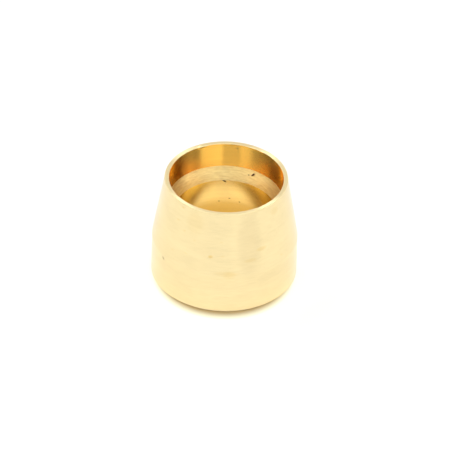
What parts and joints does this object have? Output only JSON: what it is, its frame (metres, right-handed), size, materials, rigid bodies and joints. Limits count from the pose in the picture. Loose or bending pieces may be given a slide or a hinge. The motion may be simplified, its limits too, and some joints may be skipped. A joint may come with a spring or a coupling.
{
  "type": "compression olive",
  "caption": "Turned brass compression olive with a parallel land, a long taper to a slim rim, and a stepped bore whose conical seat stops a hose liner.",
  "frame": {"origin": "centre of the blunt base face, on the bore's axis", "axes": "+Z along the bore from the base towards the slim nose; X and Y may point anywhere, because the part is round"},
  "size_m": [0.0128, 0.0128, 0.0099],
  "materials": {
    "brass": "bare bright brass, fine turned"
  },
  "bodies": {
    "root": {"olive": "brass"}
  },
  "joints": []
}
